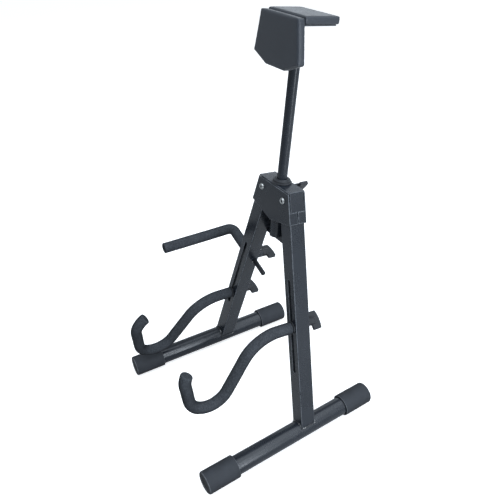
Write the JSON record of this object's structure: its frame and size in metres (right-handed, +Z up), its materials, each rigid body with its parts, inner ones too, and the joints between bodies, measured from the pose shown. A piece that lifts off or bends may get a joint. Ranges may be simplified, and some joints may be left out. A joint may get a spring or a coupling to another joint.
{
  "type": "guitar stand",
  "caption": "Folding A-frame stand that holds a guitar on padded hooks, with hinged legs on floor tubes, a sliding mast with a padded rest and a padded side arm",
  "frame": {"origin": "on the floor, midway between the two floor tubes and midway along them", "axes": "+Z up, -Y the front where the hooks are, +X towards the right leg as seen from the front"},
  "size_m": [0.3212, 0.3224, 0.6269],
  "materials": {
    "paint": "satin charcoal powder coat",
    "black_steel": "black-coated steel",
    "foam": "matt closed-cell foam, solid here",
    "rubber": "matt moulded rubber",
    "plastic": "moulded plastic",
    "zinc": "zinc-plated steel"
  },
  "bodies": {
    "head": {"head_top": "paint", "head_front_plate": "paint", "head_back_plate": "paint", "guide_sleeve": "paint", "height_clamp_nut": "paint", "mast_collar": "plastic", "right_pivot_bolt": "zinc", "left_pivot_bolt": "zinc"},
    "mast": {"mast_tube": "paint", "mast_plug": "plastic", "rest_bracket": "paint", "top_pad": "foam", "front_pad": "foam"},
    "height_screw": {"height_knob": "plastic"},
    "right_leg_frame": {"right_leg": "paint", "right_foot_tube": "paint", "right_front_cap": "rubber", "right_rear_cap": "rubber"},
    "left_leg_frame": {"left_leg": "paint", "arm_clamp_nut": "paint", "left_foot_tube": "paint", "left_front_cap": "rubber", "left_rear_cap": "rubber"},
    "right_slider": {"right_front_washer": "black_steel", "right_back_washer": "black_steel"},
    "right_hook": {"right_hook_rod": "black_steel", "right_hook_foam": "foam"},
    "right_nut": {"right_wing_nut": "plastic"},
    "left_slider": {"left_front_washer": "black_steel", "left_back_washer": "black_steel"},
    "left_hook": {"left_hook_rod": "black_steel", "left_hook_foam": "foam"},
    "left_nut": {"left_wing_nut": "plastic"},
    "side_arm": {"side_arm_rod": "black_steel", "side_arm_foam": "foam"},
    "arm_screw": {"side_arm_knob": "plastic"}
  },
  "joints": [
    {"name": "right_leg_fold", "type": "hinge", "parent": "head", "child": "right_leg_frame", "pos_m": [0.0278, 0.07151, 0.37591], "axis": [0, 0.9925, -0.1219], "range_deg": [0, 16.7]},
    {"name": "left_leg_fold", "type": "hinge", "parent": "head", "child": "left_leg_frame", "pos_m": [-0.0278, 0.07151, 0.37591], "axis": [0, -0.9925, 0.1219], "range_deg": [0, 16.7]},
    {"name": "mast_height", "type": "slide", "parent": "head", "child": "mast", "axis": [0, 0.1219, 0.9925], "range_m": [-0.08, 0.05]},
    {"name": "height_screw_turn", "type": "hinge", "parent": "head", "child": "height_screw", "pos_m": [0, 0.07175, 0.37789], "axis": [0, 0.9925, -0.1219], "continuous": true},
    {"name": "right_hook_height", "type": "slide", "parent": "right_leg_frame", "child": "right_slider", "axis": [-0.2874, 0.1167, 0.9507], "range_m": [-0.07, 0.072]},
    {"name": "right_hook_swing", "type": "hinge", "parent": "right_slider", "child": "right_hook", "pos_m": [0.08478, 0.04836, 0.18739], "axis": [0, -0.9925, 0.1219], "range_deg": [-15, 60]},
    {"name": "right_nut_turn", "type": "hinge", "parent": "right_slider", "child": "right_nut", "pos_m": [0.08478, 0.04836, 0.18739], "axis": [0, 0.9925, -0.1219], "continuous": true},
    {"name": "left_hook_height", "type": "slide", "parent": "left_leg_frame", "child": "left_slider", "axis": [0.2874, 0.1167, 0.9507], "range_m": [-0.012, 0.056]},
    {"name": "left_hook_swing", "type": "hinge", "parent": "left_slider", "child": "left_hook", "pos_m": [-0.09927, 0.04248, 0.13947], "axis": [0, 0.9925, -0.1219], "range_deg": [-30, 45]},
    {"name": "left_nut_turn", "type": "hinge", "parent": "left_slider", "child": "left_nut", "pos_m": [-0.09927, 0.04248, 0.13947], "axis": [0, 0.9925, -0.1219], "continuous": true},
    {"name": "side_arm_slide", "type": "slide", "parent": "left_leg_frame", "child": "side_arm", "axis": [-0.9578, 0.035, 0.2852], "range_m": [0, 0.03]},
    {"name": "arm_screw_turn", "type": "hinge", "parent": "left_leg_frame", "child": "arm_screw", "pos_m": [-0.0734, 0.05298, 0.22503], "axis": [0, 0.9925, -0.1219], "continuous": true}
  ]
}
